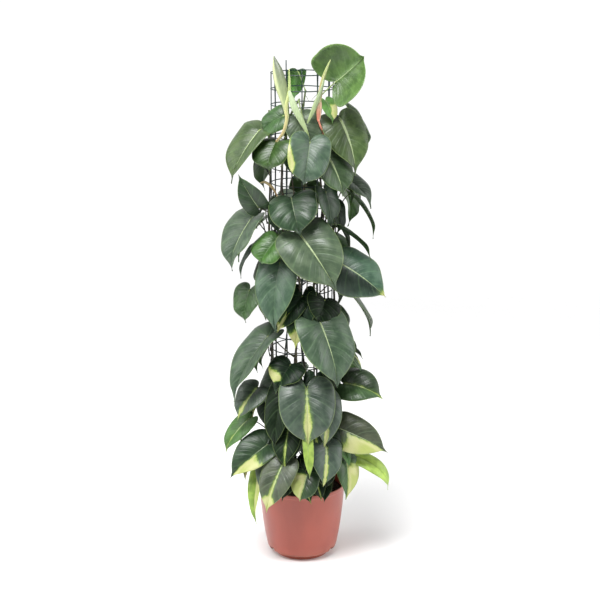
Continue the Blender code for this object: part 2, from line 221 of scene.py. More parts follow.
def height_of(tree):
    """The height of each place above the floor, in metres."""
    return add_node(tree, "SeparateXYZ", Vector=add_node(tree, "TexCoord").outputs["Object"]).outputs["Z"]


def bumped(tree, shader, height, distance):
    """Relief in the shading, up to this distance in metres."""
    bump = add_node(tree, "Bump", Height=height, Distance=distance, Strength=1.0)
    tree.links.new(bump.outputs[0], shader.inputs["Normal"])


plastic, tree, shader, patch, grain = new_material("terracotta_plastic_finish", 14, 900, 0.35)
colour = mix(tree, ramp(tree, patch, 0.35, 0.7), (0.265, 0.041, 0.021), (0.33, 0.058, 0.032))
dust = maths(tree, "MULTIPLY", ramp(tree, height_of(tree), 0.045, 0.0), patch)
colour = mix(tree, dust, colour, (0.42, 0.13, 0.08))
tree.links.new(colour, shader.inputs["Base Color"])
tree.links.new(ramp(tree, patch, 0.3, 0.75, 0.33, 0.43), shader.inputs["Roughness"])
shader.inputs["Coat Weight"].default_value = 0.3
shader.inputs["Coat Roughness"].default_value = 0.3
bumped(tree, shader, grain, 0.00012)

# the profile runs from the middle of the foot up the outside, over the rim and down the inside to the floor
foot = [(0, 0), (FOOT_RADIUS - 3, 0), *arc((FOOT_RADIUS - FOOT_ROUND, FOOT_ROUND), FOOT_ROUND, -90, 0, 4)]
foot += [(FOOT_RADIUS + 1, FOOT_HEIGHT), (FOOT_RADIUS + 1.6, FOOT_HEIGHT + 0.6)]
wall_outside = [through(WALL_OUTSIDE, step / WALL_STEPS) for step in range(WALL_STEPS + 1)]
band_low = pot_height - RIM_BAND
band = [(rim_radius - 0.9, band_low), *arc((rim_radius - 0.8, band_low + 1), 0.8, -90, 0, 3)]
lip = arc((rim_radius - 1.2, pot_height - 1.2), 1.2, 0, 90)
lip += arc((rim_radius - 2.2, pot_height - 0.9), 0.9, 90, 180)
wall_inside = [(radius - WALL, height + 0.6) for radius, height in reversed(wall_outside)]
pot_floor = [(FOOT_RADIUS - 1, FOOT_HEIGHT + 2), (FOOT_RADIUS - 2, 2), (0, 2)]
profile = foot + wall_outside + band + lip + wall_inside + pot_floor
pot = new_object("nursery_pot", turned("nursery_pot", profile, POT_SIDES), plastic)

# each slot's cutter is a block bent round the pot, so that its sides point to the pot's axis
slots = bmesh.new()
for number in range(SLOT_COUNT):
    heading = 360 * (number + 0.5) / SLOT_COUNT
    cube = bmesh.ops.create_cube(slots, size=MM)["verts"]
    bmesh.ops.scale(slots, vec=SLOT_SIZE, verts=cube)
    for corner in cube:
        sideways, outwards = corner.co.x / MM, -corner.co.y / MM
        turn = heading + degrees(atan2(sideways, SLOT_RADIUS + outwards))
        reach = hypot(sideways, SLOT_RADIUS + outwards)
        corner.co = at(turn, reach, SLOT_HEIGHT + corner.co.z / MM)
slot_mesh = bpy.data.meshes.new("slot_cutter")
slots.to_mesh(slot_mesh)
slots.free()
slot_cutter = bpy.data.objects.new("slot_cutter", slot_mesh)
bpy.context.scene.collection.objects.link(slot_cutter)
cut = pot.modifiers.new("drainage_slots", "BOOLEAN")
cut.object = slot_cutter
soften = pot.modifiers.new("soft_edges", "BEVEL")
soften.width = 0.0004
soften.angle_limit = radians(50)
shaped = bpy.data.meshes.new_from_object(pot.evaluated_get(bpy.context.evaluated_depsgraph_get()))
pot.modifiers.clear()
pot.data = shaped
pot.data.set_sharp_from_angle(angle=radians(40))
bpy.data.objects.remove(slot_cutter)
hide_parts("pot")
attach(pot, "root")


# --------------------------------------------------------------------------------------------------
# Potting mix. Dark peat with bark crumbs, filled to two fingers below the rim, with a low crown
# inside the column and loose crumbs lying on it.
# --------------------------------------------------------------------------------------------------
SOIL_SIDES = 150
SOIL_RINGS = 44
SOIL_EDGE = 99.6
SOIL_LEVEL = 157.0
SOIL_BELOW = ((96, 110), (80, 24), (54, 12))
CROWN_HEIGHT = 4.5
CROWN_RADIUS = 62
CRUMBS = 620
CRUMB_REACH = 97
CRUMB_SIZES = (0.9, 1.2, 1.6, 2.2)

soil_finish, tree, shader, patch, grain = new_material("potting_mix_finish", 160, 900)
earth = mix(tree, ramp(tree, patch, 0.35, 0.68), (0.012, 0.008, 0.005), (0.06, 0.035, 0.02))
earth = mix(tree, ramp(tree, grain, 0.62, 0.75), earth, (0.14, 0.085, 0.045))
tree.links.new(earth, shader.inputs["Base Color"])
shader.inputs["Roughness"].default_value = 0.93
bumped(tree, shader, grain, 0.0008)


def soil_height(x, y):
    """The rough top of the potting mix, in millimetres."""
    lumps = noise.fractal(Vector((x / 9, y / 9, 0.3)), 0.8, 2.1, 4)
    crown = CROWN_HEIGHT * max(0, 1 - hypot(x, y) / CROWN_RADIUS)
    return SOIL_LEVEL + crown + 1.5 * lumps


points = [at(0, 0, soil_height(0, 0))]
for ring in range(1, SOIL_RINGS + 1):
    for step in range(SOIL_SIDES):
        flat = at(360 * step / SOIL_SIDES, SOIL_EDGE * ring / SOIL_RINGS, 0) / MM
        points.append(Vector((flat.x, flat.y, soil_height(flat.x, flat.y))) * MM)
for radius, height in SOIL_BELOW:
    points += [at(360 * step / SOIL_SIDES, radius, height) for step in range(SOIL_SIDES)]
points.append(at(0, 0, SOIL_BELOW[-1][1]))
faces = []
for step in range(SOIL_SIDES):
    after = (step + 1) % SOIL_SIDES
    faces.append((0, 1 + step, 1 + after))
    for ring in range(SOIL_RINGS + len(SOIL_BELOW) - 1):
        low = 1 + ring * SOIL_SIDES
        high = low + SOIL_SIDES
        faces.append((low + step, high + step, high + after, low + after))
    last = 1 + (SOIL_RINGS + len(SOIL_BELOW) - 1) * SOIL_SIDES
    faces.append((len(points) - 1, last + after, last + step))
soil = new_object("potting_mix", closed_mesh("potting_mix", points, faces), soil_finish)
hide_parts("soil")
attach(soil, "root")

chance = random.Random(4)
crumbs = bmesh.new()
for number in range(CRUMBS):
    reach = CRUMB_REACH * chance.random() ** 0.5
    spot = at(chance.uniform(0, 360), reach, 0) / MM
    size = chance.choice(CRUMB_SIZES)
    before = set(crumbs.verts)
    bmesh.ops.create_icosphere(crumbs, subdivisions=1, radius=MM)
    squash = Vector((chance.uniform(0.6, 1.5), chance.uniform(0.6, 1.5), chance.uniform(0.4, 0.8))) * size
    turn = chance.uniform(0, pi)
    for corner in set(crumbs.verts) - before:
        ragged = corner.co * (1 + 0.35 * noise.noise(corner.co / MM * 1.7 + Vector((number, 0, 0))))
        x = ragged.x * squash.x * cos(turn) - ragged.y * squash.y * sin(turn)
        y = ragged.x * squash.x * sin(turn) + ragged.y * squash.y * cos(turn)
        corner.co = Vector((x, y, ragged.z * squash.z))
        corner.co += Vector((spot.x, spot.y, soil_height(spot.x, spot.y) + size * 0.35)) * MM
crumb_mesh = bpy.data.meshes.new("bark_crumbs")
crumbs.to_mesh(crumb_mesh)
crumbs.free()
bark_crumbs = new_object("bark_crumbs", crumb_mesh, soil_finish)
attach(bark_crumbs, "root")


# --------------------------------------------------------------------------------------------------
# Mesh column. Green plastic-coated garden mesh of 36 mm squares, rolled into a tube and stood in the
# potting mix. Its wires are welded where they cross and a little bent from being rolled, and one
# upright stands proud.
# --------------------------------------------------------------------------------------------------
WIRE_RADIUS = 1.25
UPRIGHTS = 12
RINGS = 28
RING_SPACING = 36.0
LOOSE_END = 33.0
WIRE_BOTTOM = 122
WIRE_SIDES = 8
UPRIGHT_STEPS = 70
RING_STEPS = 72

column_low, column_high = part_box("wire_column")
column_top = column_high.z / MM - WIRE_RADIUS
column_radius = (column_high.x - column_low.x) / 2 / MM - WIRE_RADIUS

coating, tree, shader, patch, grain = new_material("green_coating_finish", 60, 700)
colour = mix(tree, ramp(tree, patch, 0.35, 0.7), (0.002, 0.016, 0.012), (0.004, 0.034, 0.026))
tree.links.new(colour, shader.inputs["Base Color"])
tree.links.new(ramp(tree, grain, 0.3, 0.7, 0.3, 0.5), shader.inputs["Roughness"])
bumped(tree, shader, grain, 0.0001)


def tube(points, radii, sides, closed=False):
    """The corners and faces of a round tube along these points, with a radius at each, in metres."""
    corners = []
    faces = []
    count = len(points)
    side_way = None
    for step, centre in enumerate(points):
        ahead = points[(step + 1) % count] if closed else points[min(step + 1, count - 1)]
        behind = points[step - 1] if closed or step else points[0]
        way = (ahead - behind).normalized()
        if side_way is None:
            side_way = way.orthogonal()
        side_way = (side_way - way * side_way.dot(way)).normalized()
        up_way = way.cross(side_way)
        for side in range(sides):
            angle = 2 * pi * side / sides
            corners.append(centre + (side_way * cos(angle) + up_way * sin(angle)) * radii[step])
    for step in range(count if closed else count - 1):
        for side in range(sides):
            after = (side + 1) % sides
            low = step * sides
            high = (step + 1) % count * sides
            faces.append((low + side, low + after, high + after, high + side))
    if not closed:
        faces.append(tuple(range(sides)))
        faces.append(tuple(range((count - 1) * sides, count * sides)))
    return corners, faces


def joined(tubes):
    """One list of corners and one of faces, from several tubes."""
    corners = []
    faces = []
    for some_corners, some_faces in tubes:
        shift = len(corners)
        corners += some_corners
        faces += [tuple(index + shift for index in face) for face in some_faces]
    return corners, faces


def wander(seed, distance, size):
    """A slow wave of this size along a wire or a stem, different for each seed."""
    return size * noise.noise(Vector((distance, seed * 7.3, 2.1)))


wires = []
for upright in range(UPRIGHTS):
    line = []
    top = column_top + (LOOSE_END if upright == UPRIGHTS - 1 else 2.0)
    for step in range(UPRIGHT_STEPS + 1):
        height = top - (top - WIRE_BOTTOM) * step / UPRIGHT_STEPS
        heading = 360 * upright / UPRIGHTS + wander(upright, height / 50, 1.0)
        line.append(at(heading, column_radius + wander(upright + 20, height / 60, 1.1), height))
    wires.append(tube(line, [WIRE_RADIUS * MM] * len(line), WIRE_SIDES))
for ring in range(RINGS):
    height = column_top - RING_SPACING * ring
    loop = []
    for step in range(RING_STEPS):
        heading = 360 * step / RING_STEPS
        swing = Vector((cos(radians(heading)), sin(radians(heading)), ring * 0.6)) * 1.6
        dip = 1.3 * noise.noise(swing)
        loop.append(at(heading, column_radius + 0.5 + 0.9 * noise.noise(swing * 1.4), height + dip))
    wires.append(tube(loop, [WIRE_RADIUS * MM] * len(loop), WIRE_SIDES, closed=True))
column = new_object("mesh_column", closed_mesh("mesh_column", *joined(wires)), coating)
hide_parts("wire_column")
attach(column, "root")


# --------------------------------------------------------------------------------------------------
# Vines. Brown, half-woody stems that climb the outside of the mesh, thicker at each leaf node, with
# short aerial roots that grip the wire. The five thick ones stand in the frame, and the thin ones
# twine between them.
# --------------------------------------------------------------------------------------------------
VINE_RADIUS = 78.0
VINE_THICKNESS = 7.0
NODE_SPACING = 47.0
NODE_SWELL = 0.22
STEM_TAPER = 0.35
VINE_ROOTS = 22
THIN_THICKNESS = 4.6
THIN_ROOTS = 10

# The stems' routes up the mesh, as (heading, height)
VINES = (
    ((-30, 146), (-20, 300), (-14, 480), (-4, 680), (-22, 820), (-36, 930), (-24, 1060), (-4, 1116)),
    ((36, 146), (46, 300), (34, 480), (20, 680), (36, 860), (28, 980), (24, 1090), (28, 1130)),
    ((102, 146), (112, 320), (96, 520), (108, 760), (100, 950), (106, 1090)),
    ((176, 146), (166, 340), (184, 560), (172, 790), (182, 980), (174, 1120)),
    ((-106, 146), (-96, 320), (-114, 540), (-98, 760), (-110, 950), (-102, 1080)),
)
THIN_STEMS = (
    ((-6, 150), (4, 330), (-10, 520), (-16, 700), (-12, 860), (-17, 960), (-10, 1050)),
    ((54, 150), (38, 300), (50, 500), (40, 700), (44, 860), (38, 990)),
    ((10, 150), (16, 320), (22, 470), (8, 640), (14, 760)),
    ((-60, 150), (-48, 330), (-62, 520), (-50, 700), (-58, 900)),
    ((140, 150), (132, 400), (146, 640), (136, 900), (144, 1060)),
    ((-150, 150), (-142, 380), (-156, 620), (-140, 860), (-152, 1040)),
)

bark, tree, shader, patch, grain = new_material("vine_bark_finish", 90, 650, 0.35)
stem_colour = mix(tree, ramp(tree, patch, 0.36, 0.66), (0.020, 0.014, 0.008), (0.055, 0.048, 0.020))
stem_colour = mix(tree, ramp(tree, grain, 0.6, 0.8), stem_colour, (0.12, 0.085, 0.05))
stem_colour = mix(tree, ramp(tree, height_of(tree), 0.93, 1.12), stem_colour, (0.10, 0.14, 0.045))
tree.links.new(stem_colour, shader.inputs["Base Color"])
tree.links.new(ramp(tree, patch, 0.3, 0.7, 0.45, 0.65), shader.inputs["Roughness"])
bumped(tree, shader, grain, 0.0006)


def grow_stem(name, route, thickness, roots, seed):
    """A stem with a swelling at every node, and the roots that it puts out towards the mesh."""
    low = route[0][1]
    length = route[-1][1] - low
    steps = int(length / 5)
    line = []
    radii = []
    for step in range(steps + 1):
        amount = step / steps
        heading, height = through(route, amount)
        waver = wander(seed, height / 40, 1.4)
        node_share = (height - low) / NODE_SPACING % 1
        near_node = min(node_share, 1 - node_share) * NODE_SPACING
        swelling = 1 + NODE_SWELL * max(0, 1 - near_node / 6)
        line.append(at(heading + waver, VINE_RADIUS, height))
        radii.append(thickness / 2 * (1 - STEM_TAPER * amount) * swelling * 0.92 * MM)
    tubes = [tube(line, radii, 12)]
    luck = random.Random(seed)
    for number in range(roots):
        amount = (number + 0.5 + luck.uniform(-0.3, 0.3)) / roots
        heading, height = through(route, min(amount, 0.97))
        lean = luck.choice((-1, 1)) * luck.uniform(4, 13)
        drop = luck.uniform(-16, 6)
        root = []
        for bend in range(7):
            share = bend / 6
            grip = VINE_RADIUS + 1.5 - 5 * share**2
            root.append(at(heading + lean * share, grip, height + drop * share**1.6))
        tubes.append(tube(root, [(0.85 - 0.5 * bend / 6) * MM for bend in range(7)], 6))
    stem = new_object(name, closed_mesh(name, *joined(tubes)), bark)
    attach(stem, "root")
    return stem


for number, route in enumerate(VINES, 1):
    stem = grow_stem(f"climbing_vine_{number}", route, VINE_THICKNESS, VINE_ROOTS, number)
    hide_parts(f"vine_{number}")
for number, route in enumerate(THIN_STEMS, 1):
    grow_stem(f"thin_stem_{number}", route, THIN_THICKNESS, THIN_ROOTS, number + 30)


# --------------------------------------------------------------------------------------------------
# Leaves. Each is a heart-shaped blade half a millimetre thick, with a sunk midrib, arching side veins
# and a drawn-out tip, on its own round petiole that springs from the nearest vine. The upper ones are
# grey green, and the lower ones have the lime and cream stripes, halves and tips of this plant.
# --------------------------------------------------------------------------------------------------
# The outline of half a blade of length 1, as (along, across): the lobe, the flank and the drip tip
LOBE = ((0, 0), (-0.34, 0.04), (-0.30, 0.50), (0.12, 0.47))
SLIM_FLANK = ((0.12, 0.47), (0.48, 0.485), (0.69, 0.225), (0.86, 0.062))
FULL_FLANK = ((0.12, 0.47), (0.60, 0.52), (0.84, 0.36), (0.90, 0.062))
DRIP_TIP = ((0.86, 0.062), (0.90, 0.034), (0.95, 0.013), (1, 0))
LOBE_SHARE = 0.38
TIP_SHARE = 0.88
MARGIN_WIDTH = 0.94  # the width of the whole heart that those curves make
SIDE_VEINS = 6
BLADE_ROWS = 48
BLADE_COLUMNS = (0, 0.03, 0.08, 0.16, 0.27, 0.4, 0.54, 0.68, 0.81, 0.92, 1)
BLADE_THICKNESS = 0.5

# Relief, in millimetres: the puff between side veins, the midrib's groove, and the rib under it
PUFF = 1.3
GROOVE_REACH = 2.4
GROOVE_DEPTH = 0.7
RIB_THICKNESS = 0.55

# The petiole, in millimetres, and its colours: low on the plant, high up, and where it meets the blade
PETIOLE = 3.2
PETIOLE_SWELL = 1.25
PETIOLE_ARCH = 6.0
PETIOLE_BEND = 14.0
PETIOLE_STEPS = 22
PETIOLE_SIDES = 8
PETIOLE_LOW = Vector((0.034, 0.036, 0.014))
PETIOLE_HIGH = Vector((0.22, 0.30, 0.10))
PETIOLE_JOINT = Vector((0.26, 0.34, 0.11))

# Blade colours. Grey, olive, deep, pale, green and violet are plain blade colours, and lime is the colour
# of the lime leaves. Dark is painted shade, for leaves deep in the shade of others. Bright and sunlit are
# painted light, where light falls on a blade or comes through it. Fresh is the light green of a young leaf
# with painted light coming through it as well
TONES = {
    "grey": (0.046, 0.078, 0.047),
    "olive": (0.042, 0.074, 0.022),
    "deep": (0.016, 0.038, 0.014),
    "dark": (0.006, 0.015, 0.006),
    "pale": (0.050, 0.090, 0.049),
    "green": (0.028, 0.068, 0.014),
    "bright": (0.040, 0.112, 0.020),
    "sunlit": (0.066, 0.112, 0.030),
    "fresh": (0.070, 0.175, 0.028),
    "violet": (0.047, 0.066, 0.042),
    "lime": (0.23, 0.33, 0.055),
}


def leaf_row(base, tip, width, tone, rib, **more):
    """What every leaf has, and then what sets this one apart.

    Base and tip are (heading, radius, height), and rib is the midrib's paleness. The rest may be left out:
    - in degrees: roll about the midrib, fold of both halves or folds of each, and tuck of the lobes
    - as shares: full flanks, dome across the blade, bow along it, curl and blunt of its tip, and the
      shade of each half, a factor on its colour that is painted shade below 1 and painted light above 1
    - in millimetres: wave of the margin, and drop from the blade to the petiole's node
    - the lime and cream areas: stripe, half, margin and end, with their sizes
    """
    return base, tip, width, tone, rib, more


# The front leaves that stand in the frame
LEAVES = (
    leaf_row((44.5, 112, 1156), (48.5, 184, 1214), 149, "sunlit", 0.9, roll=-120, drop=40, dome=0.05,
        tuck=30, full=1.0, wave=0.5, folds=(-20, -36), shade=(0.85, 0.75)),
    leaf_row((-63, 108, 1042), (-67, 180, 926), 112, "olive", 1.5, roll=24, folds=(2, 30), tuck=46,
        full=0.4),
    leaf_row((-150, 96, 1060), (-142, 132, 1000), 76, "fresh", 0.4),
    leaf_row((-34, 106, 1020), (-34, 144, 955), 92, "green", 0.5, full=1.0, tuck=40, curl=0.16,
        blunt=0.14),
    leaf_row((-4, 90, 1072), (16, 100, 990), 80, "grey", 0.3, tuck=40),
    leaf_row((8, 124, 1024), (1, 156, 930), 98, "grey", 0.5, drop=-90, margin=(-1, -0.05),
        folds=(20, 10), full=0.9, curl=0.1, wave=4.0, blunt=0.06, tuck=2),
    leaf_row((30, 110, 994), (39, 150, 903), 98, "olive", 2.6, full=0.7, shade=(0.9, 0.7)),
    leaf_row((50, 114, 1066), (51, 158, 948), 100, "olive", 2.6, roll=-15, tuck=24, folds=(-14, 26),
        shade=(0.75, 1.5)),
    leaf_row((78, 110, 925), (78, 166, 862), 84, "deep", 0.3, roll=-15, fold=12, drop=60),
    leaf_row((95, 116, 885), (95, 176, 783), 54, "deep", 0.5, roll=8, fold=15),
    leaf_row((-51, 129, 872), (-56, 174, 949), 60, "deep", 0.8, roll=-42, fold=15, drop=30),
    leaf_row((-74, 122, 836), (-73, 180, 720), 122, "grey", 1.3, roll=28, folds=(0, 30), curl=0.12,
        full=0.5),
    leaf_row((-34, 106, 796), (-43, 148, 738), 84, "bright", 0.3, drop=44, dome=0.06, tuck=20, full=1.0,
        curl=0.1, blunt=0.16),
    leaf_row((-15, 92, 893), (-2, 132, 816), 112, "deep", 0.6, bow=0.12, full=0.8, tuck=40, wave=3.5),
    leaf_row((-1, 108, 810), (28, 168, 693), 136, "grey", 2.0, fold=6, drop=32, full=0.4, dome=0.05),
    leaf_row((54, 98, 822), (69, 176, 750), 66, "dark", 0.3, roll=40, fold=15, drop=40,
        margin=(1, 0.05)),
    leaf_row((54, 116, 735), (67, 210, 661), 116, "pale", 1.4, roll=-22, end=0.93, folds=(-30, 2),
        shade=(0.25, 1.0), full=0.3, curl=0.0),
    leaf_row((-30, 101, 745), (-28, 138, 588), 108, "pale", 0.3, full=0.3),
    leaf_row((-84, 124, 661), (-78, 140, 586), 88, "green", 0.4, roll=35),
    leaf_row((-52, 102, 562), (-63, 188, 412), 106, "pale", 0.5, roll=12, folds=(2, 34), tuck=32,
        full=0.4, shade=(0.9, 0.7)),
    leaf_row((22, 112, 606), (31, 166, 462), 136, "pale", 1.5, fold=6, full=0.5, dome=0.05,
        shade=(0.85, 0.9)),
    leaf_row((64, 112, 443), (69, 204, 414), 98, "deep", 1.0, roll=-25, stripe=(0.012, 0.012),
        dome=0.06, bow=0.13, shade=(2.6, 1.0), full=0.5),
    leaf_row((5, 118, 450), (5, 156, 323), 132, "violet", 1.0, fold=6, stripe=(0.012, 0.075), full=0.6,
        dome=0.05),
    leaf_row((27, 122, 425), (21, 150, 315), 78, "violet", 1.0, stripe=(0.03, 0.07)),
    leaf_row((-61, 122, 435), (-60, 178, 366), 80, "violet", 1.0, roll=25, stripe=(0.02, 0.06)),
    leaf_row((-72, 136, 350), (-72, 196, 276), 62, "bright", 1.0, roll=22, stripe=(0.012, 0.012)),
    leaf_row((-25, 102, 445), (-27, 148, 306), 70, "dark", 0.2, drop=62),
    leaf_row((-46, 116, 300), (-60, 200, 225), 98, "deep", 0.6, roll=20, half=(1, 0.3, 0.03),
        folds=(10, 30)),
    leaf_row((26, 130, 313), (18, 164, 224), 80, "violet", 1.0, stripe=(0.03, 0.06)),
    leaf_row((51, 112, 339), (66, 224, 286), 92, "violet", 0.9, roll=-22, half=(-1, 0.2, 0.04),
        folds=(-14, 20)),
    leaf_row((53, 132, 263), (43, 154, 174), 66, "green", 0.6, roll=-15, half=(1, 0.1, 0.0)),
    leaf_row((-19, 142, 270), (-28, 184, 162), 84, "violet", 1.0, end=0.66, stripe=(0.01, 0.05)),
)

# The small and half-hidden leaves between them, which are too many to be solids of their own
SMALL_LEAVES = (
    leaf_row((-173, 96, 1162), (-170, 112, 1096), 46, "bright", 0.3, tuck=44, full=0.8),
    leaf_row((-88, 115, 763), (-84, 148, 691), 40, "deep", 0.3, roll=10, fold=12),
    leaf_row((-6, 88, 660), (-27, 128, 586), 60, "dark", 0.5, fold=10, stripe=(0.03, 0.06), end=0.76),
    leaf_row((0, 86, 664), (-8, 118, 546), 70, "dark", 0.8, fold=10, end=0.66),
    leaf_row((34, 96, 1110), (37, 116, 1064), 44, "fresh", 0.6, fold=10, half=(1, 0.2, 0.1)),
    leaf_row((-28, 90, 1078), (-58, 112, 1040), 62, "green", 0.3, fold=6, blunt=0.1, full=0.8),
    leaf_row((33, 96, 654), (18, 112, 603), 90, "dark", 0.1),
    leaf_row((75, 113, 508), (76, 149, 460), 35, "green", 0.5, roll=-10, fold=12, drop=40,
        margin=(1, 0.08)),
    leaf_row((-17, 112, 345), (-16, 152, 266), 70, "dark", 0.6, fold=10, stripe=(0.012, 0.02)),
    leaf_row((5, 146, 338), (6, 172, 249), 26, "lime", 0.5, fold=14),
    leaf_row((66, 146, 262), (73, 224, 186), 46, "lime", 0.3, roll=-20, fold=4, drop=40, bow=0.2,
        curl=0.14, full=0.5, shade=(1.5, 1.6)),
    leaf_row((50, 117, 299), (50, 148, 251), 34, "bright", 0.5, fold=10),
    leaf_row((-51, 135, 239), (-44, 160, 112), 38, "lime", 0.3, roll=12, fold=22, drop=40,
        half=(1, 0.0, 0.1)),
    leaf_row((-39, 123, 288), (-33, 162, 189), 60, "violet", 0.4, roll=8),
    leaf_row((5, 126, 242), (-2, 152, 186), 66, "deep", 0.9, fold=12, half=(-1, 0.0, 0.0), full=0.7,
        tuck=36),
    leaf_row((-18, 89, 499), (-28, 130, 450), 90, "dark", 0.2, fold=10, half=(-1, 0.45, 0.16)),
    leaf_row((38, 108, 336), (34, 142, 262), 56, "dark", 0.6, fold=10),
    leaf_row((12, 100, 392), (16, 132, 300), 70, "dark", 0.6, fold=10, stripe=(0.01, 0.03)),
    leaf_row((58, 100, 560), (72, 140, 520), 30, "dark", 0.2, fold=30),
    leaf_row((66, 104, 530), (80, 150, 500), 26, "dark", 0.2, roll=10, fold=34),
)

# Dark leaves close to the mesh at the front, in the shade of the large ones, most of them in the dark tone,
# which is painted shade: (heading, height, length)
SHADE_LEAVES = (
    (-48, 1010, 70), (-12, 1000, 66), (52, 1000, 74), (-36, 880, 74), (36, 905, 92), (60, 870, 70),
    (-60, 760, 64), (34, 800, 74), (60, 700, 66), (-52, 668, 78), (30, 640, 70), (-34, 640, 64),
    (56, 590, 62), (-44, 470, 88), (46, 470, 84), (-14, 462, 60), (20, 470, 66), (-58, 410, 80),
    (-34, 380, 84), (4, 380, 70), (44, 392, 80), (62, 372, 72), (-46, 318, 74), (-18, 340, 78),
    (22, 318, 74), (50, 318, 64), (-8, 268, 70), (12, 262, 62), (-60, 262, 60), (36, 256, 66),
    (-34, 250, 62), (62, 250, 56), (-14, 226, 56), (18, 224, 52), (-48, 214, 50), (34, 214, 48),
    (2, 214, 48),
)

# Back leaves: the heading turns on within the back sector, and each leaf is a step lower than the last
BACK_LEAVES = 16
BACK_START = 102
BACK_TURN = 61
BACK_SECTOR = 160
BACK_TOP = 1085
BACK_STEP = 54
BACK_LENGTHS = (112, 126, 104, 134, 118)
BACK_TONES = ("grey", "pale", "deep", "green")
BACK_MARKS = ({"stripe": (0.015, 0.07)}, {"half": (1, 0.2, 0.03)}, {"end": 0.6}, {"half": (-1, 0.1, 0.02)})
FIRST_MARKED_BACK = 12
MARKED_BELOW = 420
FILLER_LEAVES = 20
RIM_LEAVES = 9


def back_leaf(number):
    """A large leaf at the back, one of those in the frame."""
    heading = BACK_START + number * BACK_TURN % BACK_SECTOR
    length = BACK_LENGTHS[number % len(BACK_LENGTHS)]
    height = BACK_TOP - BACK_STEP * number
    spread = 0.42 + 0.1 * sin(number * 1.7)
    base_radius = 105 + 6 * cos(number * 2.3)
    tip_height = height - length * (1 - spread * spread) ** 0.5
    base = (heading, base_radius, height)
    tip = (heading + 6 * sin(number * 2.9), base_radius + length * spread, tip_height)
    marks = BACK_MARKS[number % 4] if number >= FIRST_MARKED_BACK else {}
    tone = "violet" if marks and number % 2 else BACK_TONES[number % len(BACK_TONES)]
    return leaf_row(base, tip, length * 0.84, tone, 0.6, roll=12 * sin(number * 1.3), **marks)


def filler_leaf(number):
    """A smaller leaf close to the mesh, on the sides and the back, in the gaps between the large ones."""
    heading = 66 + number * 83 % 224
    height = 1060 - 41 * number
    length = 78 + 22 * sin(number * 2.1)
    base = (heading, 92, height)
    tip = (heading + 12 * sin(number * 1.9), 92 + length * 0.34, height - length * 0.92)
    marks = BACK_MARKS[number % 4] if height < MARKED_BELOW else {}
    # every third filler leaf has the dark tone, which is painted shade
    tone = "dark" if number % 3 == 0 else "deep"
    roll = 10 * sin(number * 2.7)
    return leaf_row(base, tip, length * 0.82, tone, 0.4, roll=roll, fold=12, drop=40, **marks)


def rim_leaf(number):
    """A leaf low down at the back, with its tip over the rim of the pot."""
    heading = 104 + 18 * number
    length = 94 + 16 * sin(number * 2.3)
    height = 262 + 24 * cos(number * 1.9)
    base = (heading, 108 + 6 * sin(number * 3.1), height)
    tip = (heading + 8 * sin(number * 1.7), base[1] + length * 0.5, height - length * 0.86)
    tone = "violet" if number % 2 else "green"
    roll = 10 * sin(number * 1.3)
    marks = BACK_MARKS[number % 4]
    return leaf_row(base, tip, length * 0.8, tone, 0.5, roll=roll, fold=10, drop=42, **marks)


def shade_leaf(number):
    """A leaf that hangs close to the mesh, from the list of them."""
    heading, height, length = SHADE_LEAVES[number]
    low_radius = 104 if height > 300 else 112 if height > 230 else 124
    base = (heading, 91, height)
    tip = (heading + 9 * sin(number * 2.3), low_radius, height - length * 0.97)
    marks = {"stripe": (0.01, 0.03)} if height < MARKED_BELOW and number % 3 == 0 else {}
    # two in three of these leaves have the dark tone, which is painted shade
    tone = ("dark", "deep", "dark")[number % 3]
    roll = 14 * sin(number * 1.9)
    return leaf_row(base, tip, length * 0.84, tone, 0.4, roll=roll, fold=10, drop=38, **marks)


def bezier(corners, t):
    """Places on a cubic curve, for one share t along it or an array of them."""
    a, b, c, d = (np.asarray(corner, float) for corner in corners)
    t = np.asarray(t, float)[..., None]
    s = 1 - t
    return s**3 * a + 3 * s * s * t * b + 3 * s * t * t * c + t**3 * d


def margin(shares, full):
    """The margin of half a blade of length 1, as (along, across), from the sinus to the tip."""
    flank_corners = np.array(SLIM_FLANK) * (1 - full) + np.array(FULL_FLANK) * full
    tip_corners = np.array(DRIP_TIP)
    tip_corners[:2, 0] += flank_corners[-1, 0] - tip_corners[0, 0]
    lobe = bezier(LOBE, np.clip(shares / LOBE_SHARE, 0, 1))
    flank = bezier(flank_corners, np.clip((shares - LOBE_SHARE) / (TIP_SHARE - LOBE_SHARE), 0, 1))
    tip = bezier(tip_corners, np.clip((shares - TIP_SHARE) / (1 - TIP_SHARE), 0, 1))
    found = np.where((shares <= LOBE_SHARE)[:, None], lobe, flank)
    return np.where((shares > TIP_SHARE)[:, None], tip, found)


def marked(marks, u, w):
    """How far inside a lime or cream area each place lies, as a share of the blade's width."""
    field = np.full(u.shape, -1.0)
    for kind, size in marks.items():
        if kind == "stripe":
            start, widest = size
            swell = np.clip((u - 0.1) / 0.5, 0, 1) * np.clip((1.02 - u) / 0.35, 0, 1)
            here = start + (widest - start) * swell**1.2 - np.abs(w)
        elif kind == "half":
            side, begin, gap = size
            here = np.minimum(side * w - gap * np.sin(u * 5) ** 2, (u - begin) * 0.4)
        elif kind == "margin":
            side, wide = size
            here = np.where(side * w > 0, np.abs(w) - (0.40 - wide) * np.clip(1.15 - u, 0, 1), -1)
            here = here - 0.5 * np.clip(u - 0.55, 0, 1)
        else:
            here = (u - size) * 0.5 - 0.4 * np.abs(w) + 0.04
        field = np.maximum(field, here)
    return field


def vine_heading(route, height):
    """The heading of a vine at this height, or at its nearest end."""
    steps = [through(route, step / 60) for step in range(61)]
    return min(steps, key=lambda place: abs(place[1] - height))[0]


